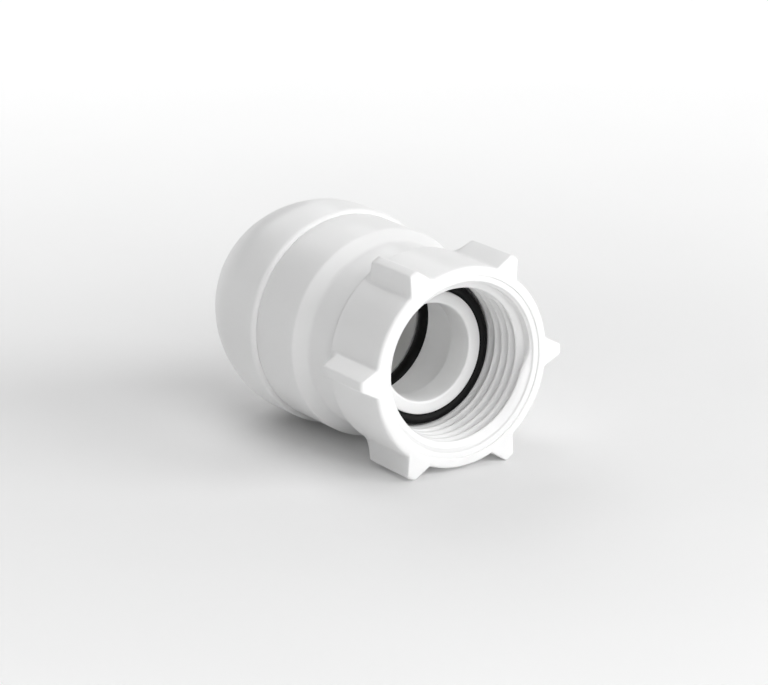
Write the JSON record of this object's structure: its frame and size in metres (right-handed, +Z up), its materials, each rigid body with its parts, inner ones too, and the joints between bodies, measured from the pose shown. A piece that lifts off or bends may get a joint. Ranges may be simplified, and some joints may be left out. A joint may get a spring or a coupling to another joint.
{
  "type": "union fitting",
  "caption": "Push-fit pipe union: domed socket for a plain pipe at one end, swivel hand nut with lugs and an internal pipe thread at the other.",
  "frame": {"origin": "middle of the fitting's bounding box, on its axis", "axes": "+Y along the axis, from the nut's mouth towards the pipe entry; +Z up, with a flat between two lugs on top; two of the lugs point along X"},
  "size_m": [0.0378, 0.0512, 0.0356],
  "materials": {
    "white_plastic": "white moulded plastic with a satin gloss",
    "collar_plastic": "white moulded acetal",
    "ring_plastic": "natural moulded acetal",
    "stainless": "pressed stainless steel sheet",
    "seal_rubber": "black moulded rubber"
  },
  "bodies": {
    "fitting": {"fitting_body": "white_plastic", "retaining_cap": "white_plastic", "backing_ring": "ring_plastic", "thrust_ring": "ring_plastic", "grab_ring": "stainless", "pipe_o_ring": "seal_rubber", "spigot_o_ring": "seal_rubber"},
    "nut": {"union_nut": "white_plastic"},
    "collar": {"release_collar": "collar_plastic"}
  },
  "joints": [
    {"name": "nut_swivel", "type": "hinge", "parent": "fitting", "child": "nut", "pos_m": [0, -0.0193, 0], "axis": [0, 1, 0], "continuous": true},
    {"name": "collar_release", "type": "slide", "parent": "fitting", "child": "collar", "axis": [0, -1, 0], "range_m": [0, 0.0018]}
  ]
}
